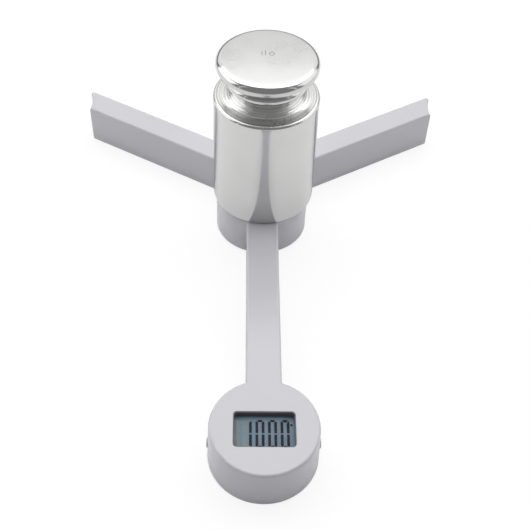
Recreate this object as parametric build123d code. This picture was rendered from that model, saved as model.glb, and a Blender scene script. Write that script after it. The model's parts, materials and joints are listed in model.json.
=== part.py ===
"""Folding three-arm digital kitchen scale, with the 1 kg calibration weight that stands on its hub.

Millimetres, +Z up. The origin is on the hub's axis, on the surface that the scale stands on.
The front arm and its display pod point along -Y. The side arms are stored open, 120 degrees
apart, and fold forward about the hub's axis until they lie beside the front arm.
"""

import math
import os

from build123d import *

# --- driving dimensions -----------------------------------------------------------------------
TOP = 21.4              # height of the hub, arm and pod tops above the table
UNDER = 0.8             # the housings' underside, held off the table by the feet
WALL = 1.6              # shell thickness
COVER = 1.6             # thickness of the bottom covers
EDGE_ROUND = 1.2        # rounding of the upper outer edges
CORNER_ROUND = 0.5      # rounding of the arms' upright corners
SEAM = 0.08             # gap between parts that turn on each other
LAP = 0.1               # how far joined shapes run into each other
PAST = 1.0              # how far a cutting shape runs past the surface that it cuts
RIB_T = 1.2

HUB_R = 22.25
HUB_GAP = 0.35          # from the hub's wall to the arms' hollowed inner ends
MITRE_GAP = 0.6         # between the open side arms' ends, behind the hub

FRONT_W = 14.8          # front arm width
POD_Y = -134.2          # pod centre
POD_R_TOP = 22.4
POD_R_FOOT = 23.0
POD_BORE = 20.9         # inside radius of the pod

SIDE_W = 13.1           # side arm width
FOLD_GAP = 0.5          # between the front arm and a folded side arm
SIDE_ANGLE = 30.0       # right arm's direction above +X, when open
FOLD_ANGLE = 120.0
TIP_R = 25.4            # the arm ends' hollow, about the pod's centre when folded
TIP_REACH = 117.3       # hub axis to the arm's blunt outer tip

# hub stack, bottom to top
CAP_TOP = UNDER + 1.2
CAP_EDGE = 0.4
RING_H = 2.6
LOW_RING = CAP_TOP + SEAM
HIGH_RING = LOW_RING + RING_H + SEAM
DRUM_Z = HIGH_RING + RING_H + SEAM
SPINDLE_R = 5.0
SPINDLE_FIT = 0.05      # running clearance of the rings on the spindle
WASHER_R = 9.0
WASHER_T = 0.5
WASHER_FIT = 0.15
BOSS_R = 7.0
STOP_R = 16.0           # circle that the stop pins stand on
STOP_PIN_R = 1.1
STOP_PIN_REACH = 1.0    # how far a pin stands in its ring
STOP_SLOT_W = 2.8
STOP_SLOT_DEPTH = 1.4
BRIDGE_REACH = 26.0     # the bridge from ring to arm is cut from this length of the arm
AXLE_R = 1.5
AXLE_HEAD_R = 3.1
AXLE_HEAD_LOW = 2.2
AXLE_HEAD_TOP = 4.2
AXLE_TIP = 17.0
AXLE_SINK_R = 3.4       # counterbore for the axle screw's head
HUB_RIB_H = 3.0

# feet
FOOT_HOLE_R = 5.0
FOOT_CUP_R = 4.6
FOOT_PAD_R = 4.2
FOOT_NECK_R = 2.6
PAD_TOP = 1.1
PAD_EDGE = 0.3
CUP_LOW = 0.6
CUP_FLANGE = 2.3
CELL_Z = 3.5            # underside of the load plates
CELL_T = 1.2
CELL_W = 8.0
CELL_RIM = 1.8          # the plates' frame, round the bending tongue
POD_CELL_L = 17.0
SIDE_CELL_L = 18.0
GAUGE_L = 4.4
GAUGE_W = 2.6
GAUGE_T = 0.25
GAUGE_AT = -1.0         # along the plate, from its middle
SIDE_FOOT_AT = 99.0     # along the side arm
POD_FOOT_Y = POD_Y - 14.4

# display and electronics in the pod
WINDOW_W = 25.0
WINDOW_D = 16.2
WINDOW_Y = POD_Y - 1.2
WINDOW_ROUND = 1.6
WINDOW_BEVEL = 0.18
LINER_T = 0.35
LINER_BELOW = 0.5       # the liner's top edge, below the pod's top
PANE_T = 0.5
PANE_LIFT = 0.15
PANE_FIT = 0.05
LCD_TOP = TOP - 3.1
LCD_T = 1.8
LCD_W = 31.0
LCD_D = 19.6
LCD_ROUND = 0.4
REFLECTOR_T = 0.4
REFLECTOR_SHORT = 4.0   # the reflector leaves the display's contacts free
HOLDER_T = 1.0
HOLDER_H = 2.6
STRIP_W = 1.8
STRIP_L = 26.0
STRIP_IN = 1.5          # from the display's edge to the middle of the strip
PCB_Z = 6.6
PCB_T = 0.8
PCB_R = 19.8
PCB_FRONT = POD_Y - 9.4
PCB_SIDE = 18.7         # the board's sides are cut back to clear the pressed buttons
BOSS_CLEAR = 2.7        # notches in the board, round the screw bosses
CHIP_AT = (6.0, -3.0)   # from the pod's centre
CHIP_R = 3.4
CHIP_TOP_R = 2.2
CHIP_H = 1.2
SWITCH_X = (15.0, 18.2)
SWITCH_W = 4.4
SWITCH_H = 3.2
PLUNGER_R = 1.0
PLUNGER_L = 0.9
BATTERY_R = 10.0
BATTERY_Y = POD_Y + 2.6
BATTERY_Z = 2.7
BATTERY_T = 3.2
BATTERY_EDGE = 0.4
BATTERY_FIT = 0.3
HOLDER_WALL = 1.4
CONTACT_W = 3.0
CONTACT_L = 8.0
CONTACT_T = 0.2
DOOR_R = 11.1
DOOR_GAP = 0.2
DOOR_EDGE = 0.3
COIN_SLOT = (12.0, 1.6, 0.8)
BUTTON_Z = 8.9
BUTTON_R = 2.1
BUTTON_HOLE_R = 2.3
BUTTON_PROUD = 0.5
BUTTON_INNER = 19.8     # pod centre to the button's inner end
BUTTON_EDGE = 0.35
COLLAR_R = 2.8
COLLAR_T = 0.4

# screws
SCREW_R = 0.9
SCREW_HEAD_R = 1.8
SCREW_HEAD_T = 0.9
SCREW_TIP = 9.0
SCREW_BOSS_R = 2.2
SCREW_SLOT = (2.6, 0.4, 0.4)
POD_SCREWS = [(side * x, POD_Y + y) for side in (-1, 1) for x, y in ((11.6, -14.6), (12.6, 12.6))]
FRONT_SCREWS = [(0, -58.0), (0, -96.0)]
SIDE_SCREWS = (44.0, 84.0)

# cable and junction board
CABLE_W = 3.0
CABLE_T = 0.8
CABLE_X = 2.6
CABLE_BEND_Y = -27.5    # where the cable rises over the rings
CABLE_END_Y = -10.0
JUNCTION_X = (-3.0, 6.0)
JUNCTION_Y = (-19.0, -9.0)
JUNCTION_Z = 15.0
JUNCTION_T = 0.8
POST_R = 1.2
POSTS = [(2.5, -11.0), (2.5, -17.0)]

# calibration weight, heights above its own base
WEIGHT_AT = (0.5, 1.4)  # it stands a little off the hub's axis
WEIGHT_R = 24.0
WEIGHT_SHOULDER = 57.8
NECK_R = 13.5
KNOB_JOIN = 65.0
KNOB_TOP = 78.7
DISC_R = 19.4           # slightly domed top of the knob, inside its rim
DISC_RISE = 0.5
RIM_OUT = 3.5           # the rim's oval section, half widths
RIM_UP = 3.1
RIM_END = -60           # degrees, where the rim's section turns into the underside
BEAD_IN = 16.4          # bead under the rim: centre and radius of its round section
BEAD_R = 2.2
CAVITY_R = 7.0
CAVITY_Z = 30.0         # adjusting cavity, under the knob's stud
STUD_R = 5.0
STUD_L = 11.0
STUD_FIT = 0.1
FOOT_CHAMFER = 0.8

# worked out from the above
SIDE_OFFSET = FRONT_W / 2 + FOLD_GAP     # side arm's inner edge
OUTER_Y = SIDE_OFFSET + SIDE_W
SIDE_MID = SIDE_OFFSET + SIDE_W / 2
TIP_POINT = (TIP_REACH, OUTER_Y)
SIDE_RIBS = (32.0, 64.0, 92.0)
SIDE_RIB_H = 5.8
ARM_HUB_R = HUB_R + HUB_GAP
PASSAGE_Z = DRUM_Z + WALL                # floor of the cable's way into the drum


# --- helpers ----------------------------------------------------------------------------------
def disc(radius, low, high, at=(0, 0)):
    """Upright cylinder between two heights."""
    return Pos(at[0], at[1], low) * extrude(Circle(radius), high - low)


def block(x, y, z):
    """Box between two limits on each axis."""
    size = Box(x[1] - x[0], y[1] - y[0], z[1] - z[0])
    return Pos((x[0] + x[1]) / 2, (y[0] + y[1]) / 2, (z[0] + z[1]) / 2) * size


def tube(outer, inner, low, high, at=(0, 0)):
    return disc(outer, low, high, at) - disc(inner, low - PAST, high + PAST, at)


def prism(sketch, low, high):
    return Pos(0, 0, low) * extrude(sketch, high - low)


def mirrored(solid):
    return mirror(solid, about=Plane.YZ)


def right_side(solid):
    """From the side arm's own frame, along +X, to its open place."""
    return Rot(0, 0, SIDE_ANGLE) * solid


def left_side(solid):
    return mirrored(right_side(solid))


def top_edges(solid, height=TOP):
    return [e for e in solid.edges() if abs(e.bounding_box().min.Z - height) < 1e-4]


def corner_edges(solid, place):
    """Upright edges that start at the underside and pass near one of the given plan points."""
    found = []
    for edge in solid.edges().filter_by(Axis.Z):
        at = edge.center()
        if any(math.hypot(at.X - x, at.Y - y) < 0.3 for x, y in place):
            found.append(edge)
    return found


def cone(low_r, high_r, height, low, at=(0, 0)):
    """Upright cone that starts at a height."""
    stands = (Align.CENTER, Align.CENTER, Align.MIN)
    return Pos(at[0], at[1], low) * Cone(low_r, high_r, height, align=stands)


def cross(length, width, depth, low):
    """Crosshead recess, cut upwards from a height."""
    half, thin = length / 2, width / 2
    z = (low - PAST, low + depth)
    return block((-half, half), (-thin, thin), z) + block((-thin, thin), (-half, half), z)


def screws(points):
    """Countersunk screws, heads down, as one group of separate solids."""
    return Compound(children=[screw(x, y) for x, y in points])


def screw(x, y):
    head = cone(SCREW_HEAD_R, SCREW_R, SCREW_HEAD_T, 0)
    shank = disc(SCREW_R, SCREW_HEAD_T - LAP, SCREW_TIP - UNDER)
    return (Pos(x, y, UNDER) * (head + shank - cross(*SCREW_SLOT, 0))).solid()


def screw_hole(x, y):
    sink = cone(SCREW_HEAD_R, SCREW_R, SCREW_HEAD_T, UNDER, (x, y))
    return sink + disc(SCREW_R, UNDER, UNDER + COVER + LAP, (x, y))


def screw_boss(x, y):
    """Boss that hangs from the roof and stands on the bottom cover."""
    return disc(SCREW_BOSS_R, UNDER + COVER, TOP - WALL + LAP, (x, y))


def screw_bore(x, y):
    return disc(SCREW_R, UNDER + COVER - LAP, SCREW_TIP + 0.4, (x, y))


def arc_slot(radius, width, start, sweep, low, high):
    """Curved slot about the hub's axis, from a start angle, anticlockwise."""
    line = CenterArc((0, 0), radius, start, sweep)
    return Pos(0, 0, low) * extrude(SlotArc(line, width), high - low)


# --- housing: drum, front arm and pod in one moulding -----------------------------------------
def pod_solid(low, high):
    """The pod's slightly tapered drum, cut between two heights."""
    whole = cone(POD_R_FOOT, POD_R_TOP, TOP - UNDER, UNDER, (0, POD_Y))
    return whole & disc(2 * POD_R_FOOT, low, high, (0, POD_Y))


def upper_housing():
    low = UNDER + COVER
    drum = disc(HUB_R, DRUM_Z, TOP)
    arm = block((-FRONT_W / 2, FRONT_W / 2), (POD_Y, 0), (low, TOP))
    arm -= disc(ARM_HUB_R, low - PAST, DRUM_Z)
    body = drum + arm + pod_solid(low, TOP)
    body = fillet(top_edges(body), EDGE_ROUND)

    roof = TOP - WALL
    arm_in = FRONT_W / 2 - WALL
    arm_end = -ARM_HUB_R - WALL
    body -= tube(HUB_R - WALL, BOSS_R, DRUM_Z - PAST, roof)
    body -= block((-arm_in, arm_in), (POD_Y, arm_end), (low - PAST, roof))
    body -= block((-arm_in, arm_in), (arm_end - PAST, -BOSS_R - 2 * WALL), (PASSAGE_Z, roof))
    body -= disc(POD_BORE, low - PAST, roof, (0, POD_Y))

    for x, y in POD_SCREWS + FRONT_SCREWS:
        body += screw_boss(x, y)
        body -= screw_bore(x, y)
    rib_x = (BOSS_R - LAP, HUB_R - WALL + LAP)
    for turn in (SIDE_ANGLE, 180 - SIDE_ANGLE, -90):
        rib = block(rib_x, (-RIB_T / 2, RIB_T / 2), (roof - HUB_RIB_H, roof + LAP))
        body += Rot(0, 0, turn) * rib
    pin_tip = HIGH_RING + RING_H - STOP_PIN_REACH
    body += disc(STOP_PIN_R, pin_tip, roof + LAP, (STOP_R, 0))
    body -= disc(AXLE_R, DRUM_Z - PAST, AXLE_TIP + 0.2)
    body -= window_frame(WINDOW_W, WINDOW_D, WINDOW_ROUND, roof - PAST, TOP + PAST)
    body = chamfer(window_edges(body), WINDOW_BEVEL)
    hole = Rot(0, 90, 0) * Cylinder(BUTTON_HOLE_R, 2 * (POD_R_FOOT - PCB_SIDE))
    for side in (-1, 1):
        body -= Pos(side * POD_BORE, POD_Y, BUTTON_Z) * hole
    for post in POSTS:
        body += disc(POST_R, JUNCTION_Z + JUNCTION_T, roof + LAP, post)
    return body


def window_edges(body):
    """Upper edges of the window's opening."""
    found = []
    for edge in top_edges(body):
        box = edge.bounding_box()
        wide = max(-box.min.X, box.max.X) < WINDOW_W / 2 + LAP
        deep = max(WINDOW_Y - box.min.Y, box.max.Y - WINDOW_Y) < WINDOW_D / 2 + LAP
        if wide and deep:
            found.append(edge)
    return found


def lower_cover():
    """Floor of the pod and front arm, screwed up into the housing."""
    high = UNDER + COVER
    plate = block((-FRONT_W / 2, FRONT_W / 2), (POD_Y, 0), (UNDER, high))
    plate -= disc(ARM_HUB_R, UNDER - PAST, high + PAST)
    plate += pod_solid(UNDER, high)
    plate -= disc(FOOT_HOLE_R, UNDER - PAST, high + PAST, (0, POD_FOOT_Y))
    plate -= disc(DOOR_R, UNDER - PAST, high + PAST, (0, BATTERY_Y))
    for x, y in POD_SCREWS + FRONT_SCREWS:
        plate -= screw_hole(x, y)
    return plate


# --- hub: cap with spindle, washers, centre screw ----------------------------------------------
def hub_cap():
    """Bottom disc and the spindle that the arms' rings turn on."""
    cap = disc(HUB_R, UNDER, CAP_TOP)
    rim = cap.edges().group_by(Axis.Z)[0]
    cap = chamfer(rim, CAP_EDGE)
    cap -= washer_pocket(CAP_TOP)
    cap += disc(SPINDLE_R, UNDER + CAP_EDGE, DRUM_Z)
    cap += disc(STOP_PIN_R, CAP_TOP - LAP, LOW_RING + STOP_PIN_REACH, (-STOP_R, 0))
    cap -= disc(AXLE_SINK_R, UNDER - PAST, AXLE_HEAD_TOP)
    cap -= disc(AXLE_R, UNDER, DRUM_Z + PAST)
    return cap


def washer_pocket(face):
    """Sinking for a thrust washer, in an upper face at a height."""
    sink = WASHER_T - SEAM
    return disc(WASHER_R + WASHER_FIT, face - sink, face + PAST)


def axle_screw():
    """Screw that holds the cap, the rings and the drum together."""
    head = disc(AXLE_HEAD_R, AXLE_HEAD_LOW, AXLE_HEAD_TOP)
    head = fillet(head.edges().group_by(Axis.Z)[0], 0.5)
    shank = disc(AXLE_R, AXLE_HEAD_TOP - LAP, AXLE_TIP)
    return head + shank - cross(4.0, 0.7, 0.8, AXLE_HEAD_LOW)


def thrust_washers():
    """Three plastic washers, sunk in the cap and the rings, that carry what turns above them."""
    faces = (CAP_TOP, LOW_RING + RING_H, HIGH_RING + RING_H)
    inner = SPINDLE_R + WASHER_FIT
    rings = [tube(WASHER_R, inner, z + SEAM - WASHER_T, z + SEAM).solid() for z in faces]
    return Compound(children=rings)


# --- side arms, in their own frame ------------------------------------------------------------
def arm_plan(inset=0.0):
    """Plan of a side arm: a straight bar, hollowed at the hub and round the pod.

    Its hub end is cut along the object's middle plane, where the two open arms meet.
    """
    bar = Rectangle(TIP_REACH - 2 * inset, SIDE_W - 2 * inset)
    bar = Pos(TIP_REACH / 2, SIDE_MID) * bar
    bar -= Circle(ARM_HUB_R + inset)
    bar -= Pos(-POD_Y, 0) * Circle(TIP_R + inset)
    return bar - middle_cut(inset)


def middle_cut(inset=0.0):
    """Everything past the middle plane, as seen from the open right arm's own frame."""
    reach = TIP_REACH
    beyond = Pos(MITRE_GAP / 2 + inset - reach / 2, 0) * Rectangle(reach, 2 * reach)
    return Rot(0, 0, -SIDE_ANGLE) * beyond


def ring_disc(low):
    """Turning ring: a flat disc with a running fit on the spindle and a sunk washer on top."""
    high = low + RING_H
    ring = disc(HUB_R, low, high)
    ring -= disc(SPINDLE_R + SPINDLE_FIT, low - PAST, high + PAST)
    return ring - washer_pocket(high)


def side_arm_shell(ring_low, slot_on_top):
    """U-section arm and its turning ring, with a curved slot for the stop pin."""
    low = UNDER + COVER
    body = prism(arm_plan(), low, TOP)
    body = fillet(corner_edges(body, [TIP_POINT]), CORNER_ROUND)
    outer = [e for e in top_edges(body) if math.hypot(e.center().X, e.center().Y) > HUB_R + WALL]
    body = fillet(outer, EDGE_ROUND)
    body -= prism(arm_plan(WALL), low - PAST, TOP - WALL)

    bridge_low = max(ring_low, low)
    ring_top = ring_low + RING_H
    bridge = block((0, BRIDGE_REACH), (SIDE_OFFSET, OUTER_Y), (bridge_low, ring_top))
    bridge &= tube(ARM_HUB_R + WALL / 2, HUB_R - 2 * WALL, bridge_low, ring_top)
    bridge -= prism(middle_cut(), low - PAST, TOP)
    body += ring_disc(ring_low) + bridge
    if slot_on_top:
        pocket = (ring_top - STOP_SLOT_DEPTH, ring_top + PAST)
    else:
        pocket = (ring_low - PAST, ring_low + STOP_SLOT_DEPTH)
    body -= arc_slot(STOP_R, STOP_SLOT_W, -SIDE_ANGLE, FOLD_ANGLE, *pocket)

    for along in SIDE_SCREWS:
        body += screw_boss(along, SIDE_MID)
        body -= screw_bore(along, SIDE_MID)
    rib_y = (SIDE_OFFSET + WALL - LAP, OUTER_Y - WALL + LAP)
    for along in SIDE_RIBS:
        rib_x = (along - RIB_T / 2, along + RIB_T / 2)
        body += block(rib_x, rib_y, (TOP - WALL - SIDE_RIB_H, TOP - WALL + LAP))
    return body


def side_arm_cover():
    plate = prism(arm_plan(), UNDER, UNDER + COVER)
    plate = fillet(corner_edges(plate, [TIP_POINT]), CORNER_ROUND)
    plate -= disc(FOOT_HOLE_R, UNDER - PAST, UNDER + COVER + PAST, (SIDE_FOOT_AT, SIDE_MID))
    for along in SIDE_SCREWS:
        plate -= screw_hole(along, SIDE_MID)
    return plate


# --- load-sensing feet ------------------------------------------------------------------------
def load_plate(length):
    """Stamped steel plate whose cut-free tongue bends as the foot pushes it up."""
    plate = prism(RectangleRounded(length, CELL_W, 1.0), CELL_Z, CELL_Z + CELL_T)
    gap = RectangleRounded(length - 2 * CELL_RIM, CELL_W - 2.6, 0.8)
    tongue = Pos(-PAST, 0) * Rectangle(length - 2 * CELL_RIM + 0.6, CELL_W - 4.0)
    return plate - prism(gap - tongue, CELL_Z - PAST, CELL_Z + CELL_T + PAST)


def strain_gauge():
    """Foil gauge on the tongue's upper face."""
    face = CELL_Z + CELL_T
    x = (GAUGE_AT - GAUGE_L / 2, GAUGE_AT + GAUGE_L / 2)
    return block(x, (-GAUGE_W / 2, GAUGE_W / 2), (face, face + GAUGE_T))


def foot_cup():
    """Plastic cup that carries the pad and pushes on the load plate."""
    cup = disc(FOOT_CUP_R, CUP_LOW, CUP_FLANGE)
    cup += disc(FOOT_NECK_R, CUP_FLANGE - LAP, CELL_Z)
    return cup - disc(FOOT_PAD_R, CUP_LOW - PAST, PAD_TOP)


def foot_pad():
    pad = disc(FOOT_PAD_R, 0, PAD_TOP)
    return fillet(pad.edges().group_by(Axis.Z)[0], PAD_EDGE)


def at_pod_foot(solid):
    return Pos(0, POD_FOOT_Y, 0) * solid


def at_side_foot(solid):
    return Pos(SIDE_FOOT_AT, SIDE_MID, 0) * solid


# --- display ----------------------------------------------------------------------------------
def window_frame(width, depth, corner, low, high):
    """Rounded slab over the window's centre."""
    return prism(Pos(0, WINDOW_Y) * RectangleRounded(width, depth, corner), low, high)


def display_liner():
    """Dark liner of the window's opening, from the display up to just below the top."""
    outer = window_frame(WINDOW_W, WINDOW_D, WINDOW_ROUND, LCD_TOP, TOP - LINER_BELOW)
    return outer - inside_liner(LINER_T, LCD_TOP - PAST, TOP + PAST)


def inside_liner(inset, low, high):
    """Slab of the window's outline, smaller all round by an inset."""
    return window_frame(WINDOW_W - 2 * inset, WINDOW_D - 2 * inset, WINDOW_ROUND - inset, low, high)


def display_window():
    """Clear pane lying over the display, inside the liner."""
    low = LCD_TOP + PANE_LIFT
    return inside_liner(LINER_T + PANE_FIT, low, low + PANE_T)


def lcd_panel():
    return window_frame(LCD_W, LCD_D, LCD_ROUND, LCD_TOP - LCD_T, LCD_TOP)


def lcd_reflector():
    """Foil behind the display, short of its row of contacts."""
    face = LCD_TOP - LCD_T
    back = window_frame(LCD_W, LCD_D - REFLECTOR_SHORT, LCD_ROUND, face - REFLECTOR_T, face)
    return Pos(0, -REFLECTOR_SHORT / 2, 0) * back


def lcd_holder():
    """Frame that holds the display up against the roof."""
    grown = 2 * HOLDER_T
    low = TOP - WALL - HOLDER_H - LCD_T
    outer = window_frame(LCD_W + grown, LCD_D + grown, LCD_ROUND + HOLDER_T, low, TOP - WALL)
    return outer - window_frame(LCD_W + 0.2, LCD_D + 0.2, LCD_ROUND, low - PAST, TOP)


def elastomer_strip():
    """Conductive rubber strip between the circuit board and the display's rear contacts."""
    y = WINDOW_Y + LCD_D / 2 - STRIP_IN
    half_l, half_w = STRIP_L / 2, STRIP_W / 2
    return block((-half_l, half_l), (y - half_w, y + half_w), (PCB_Z + PCB_T, LCD_TOP - LCD_T))


# --- electronics ------------------------------------------------------------------------------
def circuit_board():
    """Round board with flat sides and front, notched round the screw bosses."""
    high = PCB_Z + PCB_T
    board = disc(PCB_R, PCB_Z, high, (0, POD_Y))
    board &= block((-PCB_SIDE, PCB_SIDE), (PCB_FRONT, POD_Y + PCB_R), (PCB_Z, high))
    for place in POD_SCREWS:
        board -= disc(BOSS_CLEAR, PCB_Z - PAST, high + PAST, place)
    return board


def controller_chip():
    """Bare chip under a dome of resin."""
    dome = cone(CHIP_R, CHIP_TOP_R, CHIP_H, PCB_Z + PCB_T, (CHIP_AT[0], POD_Y + CHIP_AT[1]))
    return fillet(dome.edges().group_by(Axis.Z)[-1], 0.5)


def tact_switches():
    """Two side-pushed switches behind the buttons."""
    base = PCB_Z + PCB_T
    y = (POD_Y - SWITCH_W / 2, POD_Y + SWITCH_W / 2)
    right = block(SWITCH_X, y, (base, base + SWITCH_H))
    right += side_pin(PLUNGER_R, SWITCH_X[1] - LAP, SWITCH_X[1] + PLUNGER_L)
    return Compound(children=[right.solid(), mirrored(right).solid()])


def side_pin(radius, inner, outer):
    """Level cylinder along +X at the buttons' height, from the pod's centre outwards."""
    pin = Rot(0, 90, 0) * Cylinder(radius, outer - inner)
    return Pos((inner + outer) / 2, POD_Y, BUTTON_Z) * pin


def push_button():
    """Right-hand button, with a collar that keeps it inside the wall."""
    wall_r = POD_R_FOOT - (POD_R_FOOT - POD_R_TOP) * (BUTTON_Z - UNDER) / (TOP - UNDER)
    stem = side_pin(BUTTON_R, BUTTON_INNER, wall_r + BUTTON_PROUD)
    stem = fillet(stem.edges().group_by(Axis.X)[-1], BUTTON_EDGE)
    return stem + side_pin(COLLAR_R, BUTTON_INNER, BUTTON_INNER + COLLAR_T)


def battery():
    """Coin cell, 20 mm across and 3.2 mm thick."""
    cell = disc(BATTERY_R, BATTERY_Z, BATTERY_Z + BATTERY_T, (0, BATTERY_Y))
    return fillet(cell.edges().group_by(Axis.Z)[0], BATTERY_EDGE)


def battery_holder():
    """Ring that keeps the cell central, moulded separately and clipped to the board."""
    inner = BATTERY_R + BATTERY_FIT
    return tube(inner + HOLDER_WALL, inner, UNDER + COVER + LAP, PCB_Z, (0, BATTERY_Y))


def battery_contacts():
    """Centre contact on the board's underside, and the side contact against the cell's can."""
    top = BATTERY_Z + BATTERY_T
    half_l, half_w = CONTACT_L / 2, CONTACT_W / 2
    centre = block((-half_l, half_l), (BATTERY_Y - half_w, BATTERY_Y + half_w), (top, PCB_Z))
    side_x = BATTERY_R + (BATTERY_FIT - CONTACT_T) / 2
    side_y = (BATTERY_Y - half_w / 2, BATTERY_Y + half_w / 2)
    side = block((side_x, side_x + CONTACT_T), side_y, (top - 1.5, PCB_Z))
    return Compound(children=[centre.solid(), side.solid()])


def battery_door():
    """Round door in the pod's floor, with a coin slot."""
    door = disc(DOOR_R - DOOR_GAP, UNDER, UNDER + COVER, (0, BATTERY_Y))
    rim = door.edges().group_by(Axis.Z)[0]
    door = chamfer(rim, DOOR_EDGE)
    length, width, depth = COIN_SLOT
    y = (BATTERY_Y - width / 2, BATTERY_Y + width / 2)
    return door - block((-length / 2, length / 2), y, (UNDER - PAST, UNDER + depth))


def sensor_harness():
    """Flat cable along the front arm, from the pod's board to the hub."""
    low = PCB_Z + PCB_T
    rise = JUNCTION_Z - 2 * CABLE_T
    start, foot, bend, end = POD_Y + 17.0, CABLE_BEND_Y - 5.5, CABLE_BEND_Y, CABLE_END_Y
    under = [(start, low), (foot, low), (bend, rise), (end, rise)]
    over = [(y - CABLE_T / 2, z + CABLE_T) for y, z in reversed(under[1:3])]
    run = [*under, (end, rise + CABLE_T), *over, (start, low + CABLE_T)]
    cable = extrude(Plane.YZ * make_face(Polyline(*run, close=True)), CABLE_W)
    return Pos(CABLE_X, 0, 0) * cable


def junction_board():
    """Small board on two posts in the drum, where the three feet's cables meet."""
    return block(JUNCTION_X, JUNCTION_Y, (JUNCTION_Z, JUNCTION_Z + JUNCTION_T))


# --- calibration weight -----------------------------------------------------------------------
def on_hub(solid):
    return Pos(WEIGHT_AT[0], WEIGHT_AT[1], TOP) * solid


def weight_body():
    """Cylinder with a bevelled shoulder that sweeps up into the neck."""
    shoulder_in = (20.0, WEIGHT_SHOULDER + 2.2)
    neck_low = (NECK_R, WEIGHT_SHOULDER + 6.0)
    cut = FOOT_CHAMFER
    lines = Polyline(
        (0, KNOB_JOIN), (0, 0), (WEIGHT_R - cut, 0), (WEIGHT_R, cut), (WEIGHT_R, WEIGHT_SHOULDER),
        (WEIGHT_R - cut, WEIGHT_SHOULDER + cut), shoulder_in,
    )
    cove = ThreePointArc(shoulder_in, (15.6, WEIGHT_SHOULDER + 3.6), neck_low)
    close = Polyline(neck_low, (NECK_R, KNOB_JOIN), (0, KNOB_JOIN))
    half = make_face([*lines.edges(), cove, *close.edges()])
    body = revolve(Plane.XZ * half, Axis.Z)
    stud_end = KNOB_JOIN - STUD_L - PAST
    body -= disc(STUD_R + STUD_FIT, stud_end, KNOB_JOIN + PAST)
    body -= disc(CAVITY_R, CAVITY_Z, stud_end)
    return on_hub(body)


def weight_knob():
    """Screwed knob: stud, bead, undercut, thick oval rim and a slightly domed top."""
    base = KNOB_JOIN
    edge_z = KNOB_TOP - DISC_RISE
    rim_z = edge_z - RIM_UP
    dome = ThreePointArc((0, KNOB_TOP), (DISC_R / 2, KNOB_TOP - DISC_RISE / 4), (DISC_R, edge_z))
    rim = EllipticalCenterArc((DISC_R, rim_z), RIM_OUT, RIM_UP, start_angle=RIM_END, arc_size=90 - RIM_END)
    bead_z = base + BEAD_R
    bead_top = (BEAD_IN + BEAD_R / 2, bead_z + BEAD_R * math.sqrt(3) / 2)
    bead = ThreePointArc(bead_top, (BEAD_IN + BEAD_R, bead_z), (BEAD_IN, base))
    end = math.radians(RIM_END)
    rim_low = (DISC_R + RIM_OUT * math.cos(end), rim_z + RIM_UP * math.sin(end))
    undercut = Line(rim_low, bead_top)
    stud = Polyline(
        (BEAD_IN, base), (STUD_R, base), (STUD_R, base - STUD_L), (0, base - STUD_L), (0, KNOB_TOP),
    )
    half = make_face([dome, rim, undercut, bead, *stud.edges()])
    return on_hub(revolve(Plane.XZ * half, Axis.Z))


# --- the assembly -----------------------------------------------------------------------------
NODES = {
    "upper_housing": upper_housing(),
    "lower_cover": lower_cover(),
    "hub_cap": hub_cap(),
    "axle_screw": axle_screw(),
    "thrust_washers": thrust_washers(),
    "housing_screws": screws(POD_SCREWS + FRONT_SCREWS),
    "display_liner": display_liner(),
    "display_window": display_window(),
    "lcd_panel": lcd_panel(),
    "lcd_reflector": lcd_reflector(),
    "lcd_holder": lcd_holder(),
    "elastomer_strip": elastomer_strip(),
    "circuit_board": circuit_board(),
    "controller_chip": controller_chip(),
    "tact_switches": tact_switches(),
    "battery": battery(),
    "battery_holder": battery_holder(),
    "battery_contacts": battery_contacts(),
    "battery_door": battery_door(),
    "sensor_harness": sensor_harness(),
    "junction_board": junction_board(),
    "right_button": push_button(),
    "left_button": mirrored(push_button()),
    "pod_load_plate": at_pod_foot(load_plate(POD_CELL_L)),
    "pod_strain_gauge": at_pod_foot(strain_gauge()),
    "pod_foot_cup": at_pod_foot(foot_cup()),
    "pod_foot_pad": at_pod_foot(foot_pad()),
    "weight_body": weight_body(),
    "weight_knob": weight_knob(),
}

SIDE_POINTS = [(along, SIDE_MID) for along in SIDE_SCREWS]
for side, place, ring_low, on_top in (
    ("right", right_side, HIGH_RING, True),
    ("left", left_side, LOW_RING, False),
):
    NODES[side + "_arm_shell"] = place(side_arm_shell(ring_low, on_top))
    NODES[side + "_arm_cover"] = place(side_arm_cover())
    NODES[side + "_arm_screws"] = place(screws(SIDE_POINTS))
    NODES[side + "_load_plate"] = place(at_side_foot(load_plate(SIDE_CELL_L)))
    NODES[side + "_strain_gauge"] = place(at_side_foot(strain_gauge()))
    NODES[side + "_foot_cup"] = place(at_side_foot(foot_cup()))
    NODES[side + "_foot_pad"] = place(at_side_foot(foot_pad()))

os.makedirs("parts", exist_ok=True)
for name, shape in NODES.items():
    export_step(shape, "parts/" + name + ".step")
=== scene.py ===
"""Looks of the folding three-arm scale and its calibration weight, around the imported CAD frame.

Metres, in the frame's own axes: +Z up, the origin on the hub's axis at the table, the display
pod towards -Y. Lengths below are given in millimetres and turned into metres by mm().
"""

import json
import math

import bmesh
import bpy
from mathutils import Matrix, Vector


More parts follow.
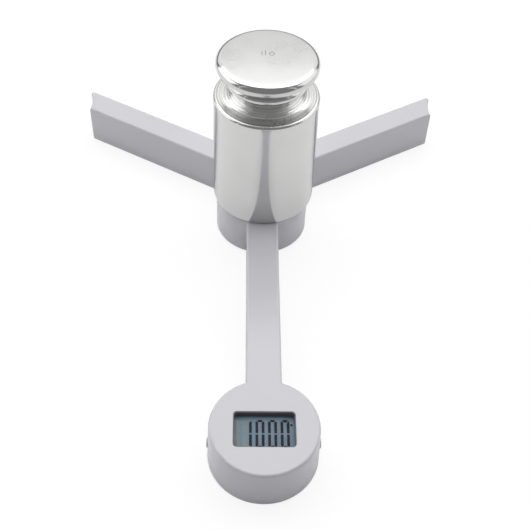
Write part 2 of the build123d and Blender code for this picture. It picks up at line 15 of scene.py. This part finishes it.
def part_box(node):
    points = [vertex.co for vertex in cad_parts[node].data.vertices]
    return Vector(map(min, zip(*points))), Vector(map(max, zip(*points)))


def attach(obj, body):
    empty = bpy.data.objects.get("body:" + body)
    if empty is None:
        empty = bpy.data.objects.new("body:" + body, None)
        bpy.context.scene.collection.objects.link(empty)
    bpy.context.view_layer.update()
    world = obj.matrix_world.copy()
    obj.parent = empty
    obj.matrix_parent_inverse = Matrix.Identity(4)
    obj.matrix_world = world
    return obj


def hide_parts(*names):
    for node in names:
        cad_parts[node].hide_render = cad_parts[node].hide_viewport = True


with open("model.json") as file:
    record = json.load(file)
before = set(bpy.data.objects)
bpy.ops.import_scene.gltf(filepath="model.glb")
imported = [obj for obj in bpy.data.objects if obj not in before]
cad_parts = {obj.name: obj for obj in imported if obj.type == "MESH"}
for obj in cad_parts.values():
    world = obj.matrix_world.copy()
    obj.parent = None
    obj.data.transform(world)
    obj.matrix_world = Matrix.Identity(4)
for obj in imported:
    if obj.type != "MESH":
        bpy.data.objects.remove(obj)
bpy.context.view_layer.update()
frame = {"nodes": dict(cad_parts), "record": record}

MM = 0.001


def mm(value):
    return value * MM


# --- places read from the frame ----------------------------------------------------------------
HOUSING_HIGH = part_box("upper_housing")[1]
LCD_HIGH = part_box("lcd_panel")[1]
LINER_LOW, LINER_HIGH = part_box("display_liner")
WEIGHT_LOW, WEIGHT_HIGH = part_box("weight_body")
KNOB_LOW, KNOB_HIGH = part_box("weight_knob")

TOP = HOUSING_HIGH.z
LCD_CENTRE = (LINER_LOW + LINER_HIGH) / 2
WEIGHT_AXIS = (WEIGHT_LOW + WEIGHT_HIGH) / 2


# --- camera ------------------------------------------------------------------------------------
CAMERA_FROM_HUB = Vector((mm(-11.1), mm(-332.3), mm(317.1)))
CAMERA_HEADING = math.radians(2.44)
CAMERA_PITCH = math.radians(48.16)
CAMERA_ROLL = math.radians(2.53)
SENSOR = 36.0
LENS = 63.28


def make_camera():
    heading, pitch, roll = CAMERA_HEADING, CAMERA_PITCH, CAMERA_ROLL
    ahead = Vector((
        math.sin(heading) * math.cos(pitch),
        math.cos(heading) * math.cos(pitch),
        -math.sin(pitch),
    ))
    level = Vector((math.cos(heading), -math.sin(heading), 0))
    up = level.cross(ahead)
    right = math.cos(roll) * level + math.sin(roll) * up
    up = right.cross(ahead)
    data = bpy.data.cameras.new("camera")
    data.sensor_width = SENSOR
    data.lens = LENS
    data.clip_start = 0.01
    data.clip_end = 50
    camera = bpy.data.objects.new("camera", data)
    turn = Matrix((right, up, -ahead)).transposed()
    camera.matrix_world = Matrix.Translation(CAMERA_FROM_HUB + Vector((0, 0, TOP))) @ turn.to_4x4()
    bpy.context.scene.collection.objects.link(camera)
    bpy.context.scene.camera = camera


# --- material helpers --------------------------------------------------------------------------
looks = {}              # every finish by the name of the record's slot that it stands for


class Surface:
    """A material under construction: its principled shader and the nodes that feed it."""

    def __init__(self, name, colour, roughness, **sockets):
        self.material = bpy.data.materials.new("look_" + name)
        self.material.use_nodes = True
        looks[name] = self.material
        self.tree = self.material.node_tree
        self.shader = self.tree.nodes["Principled BSDF"]
        self.colour = colour
        self.roughness = roughness
        self.shader.inputs["Base Color"].default_value = (*colour, 1)
        self.shader.inputs["Roughness"].default_value = roughness
        for socket, value in sockets.items():
            self.shader.inputs[socket.replace("_", " ")].default_value = value
        self.coordinate = self.tree.nodes.new("ShaderNodeTexCoord")

    def node(self, kind, **inputs):
        made = self.tree.nodes.new(kind)
        for socket, value in inputs.items():
            made.inputs[socket.replace("_", " ")].default_value = value
        return made

    def link(self, source, output, target, socket):
        self.tree.links.new(source.outputs[output], target.inputs[socket])

    def noise(self, scale, detail=2.0, stretch=(1, 1, 1)):
        mapping = self.node("ShaderNodeMapping")
        mapping.inputs["Scale"].default_value = stretch
        self.link(self.coordinate, "Object", mapping, "Vector")
        noise = self.node("ShaderNodeTexNoise", Scale=scale, Detail=detail)
        self.link(mapping, "Vector", noise, "Vector")
        return noise

    def bump(self, source, output, strength, distance):
        bump = self.node("ShaderNodeBump", Strength=strength, Distance=distance)
        self.link(source, output, bump, "Height")
        last = self.shader.inputs["Normal"].links
        if last:
            self.tree.links.new(last[0].from_socket, bump.inputs["Normal"])
        self.link(bump, "Normal", self.shader, "Normal")

    def vary_colour(self, source, output, low, high):
        """The base colour runs between two shares of itself, as the source runs from 0.3 to 0.7."""
        ramp = self.node("ShaderNodeValToRGB")
        ramp.color_ramp.elements[0].position = 0.3
        ramp.color_ramp.elements[1].position = 0.7
        ramp.color_ramp.elements[0].color = (*[c * low for c in self.colour], 1)
        ramp.color_ramp.elements[1].color = (*[min(1, c * high) for c in self.colour], 1)
        self.link(source, output, ramp, "Fac")
        self.link(ramp, "Color", self.shader, "Base Color")

    def vary_roughness(self, source, output, low, high):
        spread = self.node("ShaderNodeMapRange")
        spread.inputs["From Min"].default_value = 0.3
        spread.inputs["From Max"].default_value = 0.7
        spread.inputs["To Min"].default_value = low
        spread.inputs["To Max"].default_value = high
        self.link(source, output, spread, "Value")
        self.link(spread, "Result", self.shader, "Roughness")


def moulded_plastic(name, colour, roughness, grain=0.02, wave=0.03):
    """Injection-moulded plastic: slow waviness, a fine grain and a slight handling haze."""
    made = Surface(name, colour, roughness, IOR=1.53)
    slow = made.noise(70, 1.0)
    fine = made.noise(2600, 2.0)
    haze = made.noise(34, 4.0)
    made.bump(slow, "Fac", wave, mm(0.05))
    made.bump(fine, "Fac", grain, mm(0.02))
    made.vary_colour(haze, "Fac", 0.985, 1.01)
    made.vary_roughness(haze, "Fac", roughness * 0.88, roughness * 1.15)
    return made.material


def turned_steel(name, colour, roughness, streak=0.02):
    """Lathe-turned and polished steel: faint rings round the axis and soft stains."""
    made = Surface(name, colour, roughness, Metallic=1.0)
    rings = made.noise(420, 3.0, (0.02, 0.02, 6.0))
    stain = made.noise(55, 3.0)
    made.bump(rings, "Fac", streak, mm(0.01))
    made.vary_roughness(stain, "Fac", roughness * 0.75, roughness * 1.4)
    made.vary_colour(stain, "Fac", 0.97, 1.02)
    return made.material


def ringed_steel(name, colour, roughness):
    """Steel as the lathe left it: fine rings round the upright axis."""
    made = Surface(name, colour, roughness, Metallic=1.0)
    across = made.node("ShaderNodeVectorMath")
    across.operation = "SUBTRACT"
    across.inputs[1].default_value = (WEIGHT_AXIS.x, WEIGHT_AXIS.y, 0)
    made.link(made.coordinate, "Object", across, 0)
    flat = made.node("ShaderNodeVectorMath")
    flat.operation = "MULTIPLY"
    flat.inputs[1].default_value = (1, 1, 0)
    made.link(across, 0, flat, 0)
    radius = made.node("ShaderNodeVectorMath")
    radius.operation = "LENGTH"
    made.link(flat, 0, radius, 0)
    rings = made.node("ShaderNodeTexNoise", Scale=1500, Detail=3.0)
    rings.noise_dimensions = "1D"
    made.link(radius, "Value", rings, "W")
    made.bump(rings, "Fac", 0.35, mm(0.02))
    made.vary_colour(rings, "Fac", 0.66, 1.14)
    made.vary_roughness(made.noise(60, 3.0), "Fac", roughness * 0.8, roughness * 1.3)
    return made.material


def brushed_metal(name, colour, roughness):
    made = Surface(name, colour, roughness, Metallic=1.0)
    lines = made.noise(900, 3.0, (1.0, 0.05, 1.0))
    made.bump(lines, "Fac", 0.12, mm(0.02))
    made.vary_roughness(lines, "Fac", roughness * 0.8, roughness * 1.3)
    return made.material


def moulded_rubber(name, colour):
    made = Surface(name, colour, 0.75)
    grain = made.noise(1800, 3.0)
    made.bump(grain, "Fac", 0.25, mm(0.05))
    made.vary_colour(made.noise(90, 3.0), "Fac", 0.88, 1.08)
    return made.material


SHELL = (0.545, 0.54, 0.575)
PLASTICS = {            # colour, roughness, strength of the fine grain
    "shell_plastic": (SHELL, 0.22, 0.02),
    "cover_plastic": (SHELL, 0.3, 0.08),
    "hub_cap_plastic": (SHELL, 0.3, 0.08),
    "button_plastic": ((0.62, 0.62, 0.65), 0.3, 0.02),
    "washer_plastic": ((0.85, 0.85, 0.83), 0.5, 0.02),
    "liner_plastic": ((0.12, 0.11, 0.125), 0.5, 0.02),
    "holder_plastic": ((0.02, 0.02, 0.022), 0.5, 0.02),
    "chip_resin": ((0.01, 0.01, 0.01), 0.3, 0.02),
    "switch_plastic": ((0.02, 0.02, 0.022), 0.4, 0.02),
    "cable_jacket": ((0.4, 0.4, 0.43), 0.5, 0.02),
    "foot_plastic": ((0.5, 0.5, 0.53), 0.45, 0.02),
    "gauge_film": ((0.6, 0.33, 0.08), 0.3, 0.02),
    "board_laminate": ((0.02, 0.13, 0.05), 0.35, 0.02),
}
METALS = {              # colour, roughness
    "reflector_foil": ((0.6, 0.63, 0.66), 0.35),
    "screw_steel": ((0.55, 0.55, 0.57), 0.3),
    "load_plate_steel": ((0.5, 0.5, 0.52), 0.35),
    "cell_can": ((0.65, 0.65, 0.67), 0.25),
    "contact_nickel": ((0.7, 0.66, 0.58), 0.25),
}
RUBBERS = {
    "elastomer": (0.16, 0.05, 0.08),
    "foot_rubber": (0.16, 0.16, 0.17),
}
for slot, (colour, roughness, grain) in PLASTICS.items():
    moulded_plastic(slot, colour, roughness, grain)
for slot, (colour, roughness) in METALS.items():
    brushed_metal(slot, colour, roughness)
for slot, colour in RUBBERS.items():
    moulded_rubber(slot, colour)
weight_steel = turned_steel("weight_steel", (0.64, 0.64, 0.635), 0.11)
weight_ringed = ringed_steel("weight_ringed", (0.66, 0.66, 0.65), 0.24)
mark_steel = turned_steel("mark_steel", (0.30, 0.30, 0.30), 0.35)
weight_satin = turned_steel("weight_satin", (0.545, 0.545, 0.54), 0.27, streak=0.05)


def lcd_material():
    """Blue-grey reflective display with soft, uneven shading and a fine grain."""
    made = Surface("lcd_glass", (0.19, 0.27, 0.345), 0.35)
    made.shader.inputs["Specular IOR Level"].default_value = 0.15
    shade = made.noise(60, 2.0)
    made.vary_colour(shade, "Fac", 0.93, 1.07)
    pixels = made.noise(5200, 1.0)
    made.bump(pixels, "Fac", 0.03, mm(0.01))


def window_material():
    """Clear, faintly smeared window over the display."""
    made = Surface("window_clear", (0.05, 0.06, 0.07), 0.03, Alpha=0.05)
    made.shader.inputs["Specular IOR Level"].default_value = 0.12
    smear = made.noise(120, 3.0)
    made.vary_roughness(smear, "Fac", 0.02, 0.09)
    made.material.surface_render_method = "BLENDED"


lcd_material()
window_material()
segment_ink = moulded_plastic("segment_ink", (0.022, 0.018, 0.028), 0.4)
ink_shader = segment_ink.node_tree.nodes["Principled BSDF"]
ink_shader.inputs["Specular IOR Level"].default_value = 0.08
ghost_ink = moulded_plastic("ghost_ink", (0.20, 0.245, 0.235), 0.35)


def paint(obj, material):
    obj.data.materials.clear()
    obj.data.materials.append(material)


def paint_frame():
    """Every carried-over CAD node gets the finish of its own slot in the record."""
    slot_of = {part["node"]: part["material_slot"] for part in frame["record"]["subparts"]}
    for name, obj in frame["nodes"].items():
        paint(obj, looks[slot_of[name]])


# --- mesh helpers ------------------------------------------------------------------------------
def new_piece(name, mesh, material):
    obj = bpy.data.objects.new(name, mesh)
    bpy.context.scene.collection.objects.link(obj)
    paint(obj, material)
    return obj


def arc(centre, across, up, start, end, count):
    """Points of an oval stretch of a half-profile, angles in degrees from outwards towards up."""
    made = []
    for i in range(count + 1):
        turn = math.radians(start + (end - start) * i / count)
        made.append((centre[0] + across * math.cos(turn), centre[1] + up * math.sin(turn)))
    return made


def turned(name, profile, axis, base, segments=256):
    """Smooth mesh of revolution from (radius, height) points in millimetres."""
    bm = bmesh.new()
    rows = []
    for radius, height in profile:
        z = base + mm(height)
        if radius < 1e-6:
            rows.append([bm.verts.new((axis.x, axis.y, z))])
            continue
        row = []
        for i in range(segments):
            turn = 2 * math.pi * i / segments
            x = axis.x + mm(radius) * math.cos(turn)
            y = axis.y + mm(radius) * math.sin(turn)
            row.append(bm.verts.new((x, y, z)))
        rows.append(row)
    for low, high in zip(rows, rows[1:]):
        for i in range(segments):
            j = (i + 1) % segments
            a = low[i % len(low)]
            b = low[j % len(low)]
            c = high[j % len(high)]
            d = high[i % len(high)]
            corners = list(dict.fromkeys((a, b, c, d)))
            if len(corners) > 2:
                bm.faces.new(corners)
    bmesh.ops.recalc_face_normals(bm, faces=bm.faces)
    for face in bm.faces:
        face.smooth = True
    mesh = bpy.data.meshes.new(name)
    bm.to_mesh(mesh)
    bm.free()
    return mesh


def crease(obj, degrees):
    """Shading breaks only at edges sharper than this."""
    obj.data.set_sharp_from_angle(angle=math.radians(degrees))


# --- calibration weight, heights above its own base -------------------------------------------
BODY_R = (WEIGHT_HIGH.x - WEIGHT_LOW.x) / 2 / MM
KNOB_TOP = (KNOB_HIGH.z - WEIGHT_LOW.z) / MM
JOIN = (WEIGHT_HIGH.z - WEIGHT_LOW.z) / MM
SHOULDER = JOIN - 7.2
NECK_R = 13.5
RIM_OUT = 3.5           # half widths of the rim's oval section
RIM_UP = 3.1
DISC_R = (KNOB_HIGH.x - KNOB_LOW.x) / 2 / MM - RIM_OUT
DISC_RISE = 0.5
BEAD_IN = 16.4
BEAD_R = 2.2
COVE_R = 7.5
COVE_X = 21.2           # radius of the circle on which the cove's round is centred
FOOT_SUNK = 0.3         # the base's middle, above its rim
FOOT_EDGE = 0.8
LIP = 1.4               # rounding of the shoulder's outer edge
SHADOW_GAP = 0.4        # step between neck and knob


def weight_profile():
    """Cylinder: sunk foot, rounded edges, narrow land and the cove that sweeps up to the neck."""
    outline = [(0, FOOT_SUNK), (18.0, FOOT_SUNK), (18.6, 0)]
    outline += arc((BODY_R - FOOT_EDGE, FOOT_EDGE), FOOT_EDGE, FOOT_EDGE, -90, 0, 6)
    outline += [(BODY_R, JOIN / 3), (BODY_R, SHOULDER - 1.2)]
    outline += arc((BODY_R - LIP, SHOULDER + 0.8 - LIP), LIP, LIP, 0, 84, 12)
    outline += [(BODY_R - LIP - 0.5, SHOULDER + 0.82)]
    outline += arc((COVE_X, SHOULDER + 0.9 + COVE_R), COVE_R, COVE_R, -92, -178, 24)
    return outline + [(NECK_R, JOIN), (0, JOIN)]


def knob_profile():
    """Knob: shadow gap, bead, undercut, thick oval rim and slightly domed top."""
    disc_edge = KNOB_TOP - DISC_RISE
    step = NECK_R - SHADOW_GAP
    outline = [(0, JOIN), (step, JOIN), (step, JOIN + 0.3), (BEAD_IN - 1.0, JOIN + 0.3)]
    outline += arc((BEAD_IN, JOIN + 0.2 + BEAD_R), BEAD_R, BEAD_R, -86, 64, 18)
    outline += arc((DISC_R, disc_edge - RIM_UP), RIM_OUT, RIM_UP, -62, 86, 30)
    for share in (0.95, 0.88, 0.75, 0.5, 0.25):
        outline.append((DISC_R * share, KNOB_TOP - DISC_RISE * share ** 2))
    return outline + [(0, KNOB_TOP)]


def weight_piece(name, outline, stands_for):
    mesh = turned(name, outline, WEIGHT_AXIS, WEIGHT_LOW.z)
    piece = new_piece(name, mesh, weight_steel)
    crease(piece, 30)
    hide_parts(stands_for)
    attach(piece, "weight")
    return piece


def make_weight():
    """The turned pieces, with rings on the shoulder and cove and a satin top on the knob."""
    body = weight_piece("weight_cylinder", weight_profile(), "weight_body")
    body.data.materials.append(weight_ringed)
    for face in body.data.polygons:
        out = (face.center.xy - WEIGHT_AXIS.xy).length
        if face.center.z > WEIGHT_LOW.z + mm(SHOULDER + 0.5) and out > mm(NECK_R + 0.6):
            face.material_index = 1
    knob = weight_piece("weight_knob_turned", knob_profile(), "weight_knob")
    knob.data.materials.append(weight_satin)
    for face in knob.data.polygons:
        if face.normal.z > 0.98 and face.center.z > WEIGHT_LOW.z + mm(KNOB_TOP - 1.0):
            face.material_index = 1


MARK_BARS = ((-2.6, 2.9), (-1.1, 3.6))      # each bar's middle and height
MARK_STROKE = 0.45
MARK_RING = (1.7, 1.3)
MARK_RING_R = 0.9
MARK_FOOT = 0.6         # the bars' feet, behind the knob's middle
MARK_SUNK = 0.055       # how far the mark runs into the domed top
MARK_PROUD = 0.01


def add_ring(bm, centre, inner, outer, place, low, high, steps=28):
    loops = []
    for radius, z in ((inner, low), (outer, low), (outer, high), (inner, high)):
        loop = []
        for i in range(steps):
            turn = 2 * math.pi * i / steps
            x = place[0] + mm(centre[0] + radius * math.cos(turn))
            y = place[1] + mm(centre[1] + radius * math.sin(turn))
            loop.append(bm.verts.new((x, y, z)))
        loops.append(loop)
    for near, far in zip(loops, loops[1:] + loops[:1]):
        for i in range(steps):
            j = (i + 1) % steps
            bm.faces.new((near[i], near[j], far[j], far[i]))


def make_mark():
    """Two short bars and a ring, as a plain stamp in the knob's top."""
    bm = bmesh.new()
    low = KNOB_HIGH.z - mm(MARK_SUNK)
    high = KNOB_HIGH.z + mm(MARK_PROUD)
    place = (WEIGHT_AXIS.x, WEIGHT_AXIS.y + mm(MARK_FOOT))
    half = MARK_STROKE / 2
    for middle, tall in MARK_BARS:
        bar = [(middle - half, 0), (middle + half, 0), (middle + half, tall), (middle - half, tall)]
        add_prism(bm, bar, place, low, high)
    add_ring(bm, MARK_RING, MARK_RING_R, MARK_RING_R + MARK_STROKE, place, low, high)
    bmesh.ops.recalc_face_normals(bm, faces=bm.faces)
    mesh = bpy.data.meshes.new("weight_mark")
    bm.to_mesh(mesh)
    bm.free()
    mark = new_piece("weight_mark", mesh, mark_steel)
    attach(mark, "weight")


# --- display segments --------------------------------------------------------------------------
DIGIT_H = 12.9
DIGIT_W = 3.6
STROKE = 1.12
PITCH = 5.02
DIGITS = " 1000"
DIGITS_LEFT = 13.6      # from the window's middle to the first digit's left edge
JOINT_GAP = 0.16
INK_T = 0.03
LIT = {" ": "", "1": "bc", "0": "abcdef"}
FOOT_AT = -0.4          # the figures' middle, from the window's middle
MID_SPLIT = 0.30        # half the gap between upper and lower uprights
TICK = 0.9              # small square mark at the upper right
TICK_IN = 1.1           # its place, from the end of the last digit's pitch
TICK_DOWN = 2.8


def flipped_x(outline):
    return [(DIGIT_W - x, y) for x, y in outline]


def flipped_y(outline):
    return [(x, DIGIT_H - y) for x, y in outline]


def segment_outline(name):
    """One bar of a seven-segment figure, in millimetres from the digit's lower left corner."""
    w, h, s, g = DIGIT_W, DIGIT_H, STROKE, JOINT_GAP
    mid = h / 2
    upright = [
        (0, mid + MID_SPLIT), (s, mid + MID_SPLIT), (s, h - s - g),
        (s * 0.35, h - s * 0.35 - g), (0, h - s * 0.8 - g),
    ]
    across = [
        (s * 0.45 + g, h - s * 0.28), (s + g, h), (w - s - g, h),
        (w - s * 0.45 - g, h - s * 0.28), (w - s - g * 0.5, h - s), (s + g * 0.5, h - s),
    ]
    half = s / 2 - 0.05
    bar = [
        (s + g, mid), (s + g + 0.4, mid + half), (w - s - g - 0.4, mid + half),
        (w - s - g, mid), (w - s - g - 0.4, mid - half), (s + g + 0.4, mid - half),
    ]
    shapes = {
        "a": across,
        "d": flipped_y(across),
        "f": upright,
        "b": flipped_x(upright),
        "e": flipped_y(upright),
        "c": flipped_x(flipped_y(upright)),
        "g": bar,
    }
    return shapes[name]


def add_prism(bm, outline, place, low, high):
    bottom = [bm.verts.new((place[0] + mm(x), place[1] + mm(y), low)) for x, y in outline]
    top = [bm.verts.new((v.co.x, v.co.y, high)) for v in bottom]
    bm.faces.new(top)
    bm.faces.new(list(reversed(bottom)))
    for i in range(len(outline)):
        j = (i + 1) % len(outline)
        bm.faces.new((bottom[i], bottom[j], top[j], top[i]))


def make_segments():
    """Lit figures, and the faint ones that are off."""
    left = LCD_CENTRE.x - mm(DIGITS_LEFT)
    foot = LCD_CENTRE.y + mm(FOOT_AT - DIGIT_H / 2)
    lit, ghost = bmesh.new(), bmesh.new()
    low = LCD_HIGH.z
    for i, figure in enumerate(DIGITS):
        place = (left + mm(PITCH * i), foot)
        for name in "abcdefg":
            on = name in LIT[figure]
            target = lit if on else ghost
            thickness = INK_T if on else INK_T / 2
            add_prism(target, segment_outline(name), place, low, low + mm(thickness))
    tick = [(0, 0), (TICK, 0), (TICK, TICK), (0, TICK)]
    place = (left + mm(PITCH * len(DIGITS) - TICK_IN), foot + mm(DIGIT_H - TICK_DOWN))
    add_prism(lit, tick, place, low, low + mm(INK_T))
    figures = (("lcd_figures", lit, segment_ink), ("lcd_ghost_figures", ghost, ghost_ink))
    for name, bm, material in figures:
        bmesh.ops.recalc_face_normals(bm, faces=bm.faces)
        mesh = bpy.data.meshes.new(name)
        bm.to_mesh(mesh)
        bm.free()
        piece = new_piece(name, mesh, material)
        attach(piece, "housing")


# --- surroundings ------------------------------------------------------------------------------
FLOOR_GLOW = 0.85       # the white floor that the camera sees
FLOOR_PAPER = 0.16
BOUNCE_PAPER = 0.90     # the paper that lights and mirrors the object, just under it
BOUNCE_DEPTH = 0.2
STUDIO_GLOW = 0.26
REACH = 12.0            # half the floor's width
TARGET = Vector((0, mm(-40), mm(30)))       # what every light faces


def paper_material(name, glow, paper):
    """Matt paper with some light of its own."""
    material = bpy.data.materials.new(name)
    material.use_nodes = True
    shader = material.node_tree.nodes["Principled BSDF"]
    shader.inputs["Base Color"].default_value = (paper, paper, paper, 1)
    shader.inputs["Roughness"].default_value = 0.9
    shader.inputs["Specular IOR Level"].default_value = 0.0
    shader.inputs["Emission Color"].default_value = (1, 1, 1, 1)
    shader.inputs["Emission Strength"].default_value = glow
    return material


def make_sheet(name, height, material):
    mesh = bpy.data.meshes.new(name)
    corners = [(-REACH, -REACH), (REACH, -REACH), (REACH, REACH), (-REACH, REACH)]
    mesh.from_pydata([(x, y, height) for x, y in corners], [], [(0, 1, 2, 3)])
    sheet = bpy.data.objects.new(name, mesh)
    bpy.context.scene.collection.objects.link(sheet)
    sheet.data.materials.append(material)
    return sheet


BACKDROP_R = 11.0
BACKDROP_H = 9.0
BACKDROP_LOW = -1.0


def make_backdrop(material):
    """White wall all round, far off, that only the camera sees."""
    steps = 64
    turns = [2 * math.pi * i / steps for i in range(steps)]
    ring = [(BACKDROP_R * math.cos(t), BACKDROP_R * math.sin(t)) for t in turns]
    corners = [(x, y, z) for z in (BACKDROP_LOW, BACKDROP_H) for x, y in ring]
    faces = [(i, (i + 1) % steps, steps + (i + 1) % steps, steps + i) for i in range(steps)]
    mesh = bpy.data.meshes.new("backdrop")
    mesh.from_pydata(corners, [], faces)
    wall = bpy.data.objects.new("backdrop", mesh)
    bpy.context.scene.collection.objects.link(wall)
    wall.data.materials.append(material)
    for_camera_alone(wall)


def for_camera_alone(obj):
    obj.visible_diffuse = False
    obj.visible_glossy = False
    obj.visible_transmission = False
    obj.visible_shadow = False


def make_floor():
    """White floor for the camera alone, over the paper that bounces the light."""
    white = paper_material("floor_white", FLOOR_GLOW, FLOOR_PAPER)
    for_camera_alone(make_sheet("floor", 0, white))
    make_backdrop(white)
    paper = paper_material("bounce_paper", 0, BOUNCE_PAPER)
    bounce = make_sheet("bounce_floor", mm(-BOUNCE_DEPTH), paper)
    bounce.visible_camera = False


def soft_box(name, azimuth, elevation, distance, size, radiance):
    """Rectangular light that faces the object; azimuth runs anticlockwise from +X."""
    a, e = math.radians(azimuth), math.radians(elevation)
    away = Vector((math.cos(a) * math.cos(e), math.sin(a) * math.cos(e), math.sin(e)))
    data = bpy.data.lights.new(name, "AREA")
    data.shape = "RECTANGLE"
    data.size, data.size_y = size
    data.energy = radiance * size[0] * size[1] * math.pi
    light = bpy.data.objects.new(name, data)
    light.location = TARGET + away * distance
    light.rotation_mode = "QUATERNION"
    light.rotation_quaternion = away.to_track_quat("Z", "Y")
    light.visible_camera = False
    bpy.context.scene.collection.objects.link(light)


SOFT_BOXES = (          # name, azimuth, elevation, distance, size in metres, radiance
    ("top_back_box", 90, 67, 1.1, (1.9, 0.95), 2.15),
    ("back_box", 90, 30, 1.3, (2.2, 0.55), 0.85),
    ("left_box", 168, 24, 1.2, (1.1, 0.9), 1.3),
    ("right_box", 12, 24, 1.2, (1.1, 0.9), 1.0),
    ("left_strip", -150, 30, 1.2, (0.03, 1.2), 1.6),
    ("right_strip", -30, 30, 1.2, (0.03, 1.2), 1.6),
)


def make_surroundings():
    make_floor()
    for box in SOFT_BOXES:
        soft_box(*box)
    world = bpy.data.worlds.new("studio")
    bpy.context.scene.world = world
    world.use_nodes = True
    background = world.node_tree.nodes["Background"]
    background.inputs["Color"].default_value = (1, 1, 1, 1)
    background.inputs["Strength"].default_value = STUDIO_GLOW
    bpy.context.scene.view_settings.view_transform = "Standard"


make_camera()
paint_frame()
make_weight()
make_mark()
make_segments()
make_surroundings()
